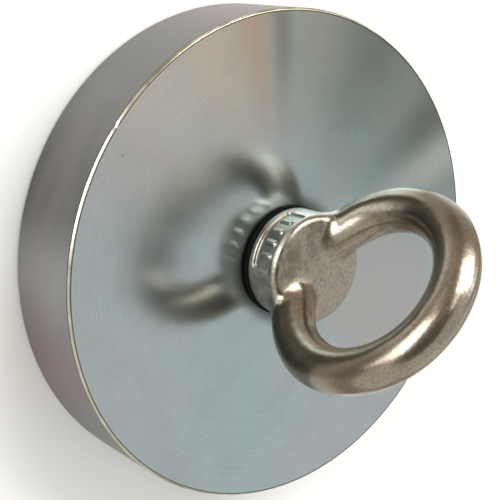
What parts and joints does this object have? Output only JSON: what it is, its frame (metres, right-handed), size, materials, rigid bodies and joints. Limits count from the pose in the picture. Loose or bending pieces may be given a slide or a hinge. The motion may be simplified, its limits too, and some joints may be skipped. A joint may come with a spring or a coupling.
{
  "type": "magnet fishing magnet",
  "caption": "Round steel pot magnet for salvage from water, with a potted ring magnet in its holding face and a screwed-in eye bolt for a rope on top.",
  "frame": {"origin": "centre of the holding face, on the pot's axis", "axes": "+Z along the axis from the holding face to the eye; the eye's ring stands in the XZ plane, and the collar's ribbed panel faces -Y"},
  "size_m": [0.09, 0.09, 0.0602],
  "materials": {
    "zinc_plated_steel": "turned steel, clear zinc plated, satin",
    "nickel_plated_magnet": "sintered neodymium magnet, nickel plated, semi-gloss",
    "adhesive": "cured structural adhesive",
    "epoxy": "cast black epoxy, slightly glossy",
    "brass": "turned brass",
    "nylon": "natural nylon",
    "stainless_steel": "stainless steel, fine turned",
    "spring_steel": "hardened spring steel, dark",
    "rubber": "matt black rubber",
    "nickel_plated_iron": "nickel-plated casting, glossy with a faint casting texture"
  },
  "bodies": {
    "pot": {"steel_pot": "zinc_plated_steel", "ring_magnet": "nickel_plated_magnet", "magnet_bond": "adhesive", "outer_potting": "epoxy", "inner_potting": "epoxy", "centre_bush": "brass", "centring_spacer_1": "nylon", "centring_spacer_2": "nylon", "centring_spacer_3": "nylon"},
    "seal": {"seal_washer": "rubber"},
    "eye": {"eye_bolt": "nickel_plated_iron"},
    "washers": {"flat_washer": "stainless_steel", "lock_washer": "spring_steel"},
    "nut": {"lock_nut": "stainless_steel"}
  },
  "joints": [
    {"name": "eye_lift", "type": "slide", "parent": "pot", "child": "seal", "axis": [0, 0, 1], "range_m": [0, 0.0165]},
    {"name": "eye_turn", "type": "hinge", "parent": "seal", "child": "eye", "pos_m": [0, 0, 0.02], "axis": [0, 0, 1], "range_deg": [0, 3960]},
    {"name": "nut_drop", "type": "slide", "parent": "pot", "child": "washers", "axis": [0, 0, -1], "range_m": [0, 0.006]},
    {"name": "nut_turn", "type": "hinge", "parent": "washers", "child": "nut", "pos_m": [0, 0, 0.004], "axis": [0, 0, -1], "range_deg": [0, 1440]}
  ],
  "couplings": [
    {"joint": "eye_turn", "follows": "eye_lift", "rad_per_m": 4188.8},
    {"joint": "nut_turn", "follows": "nut_drop", "rad_per_m": 4188.8}
  ]
}
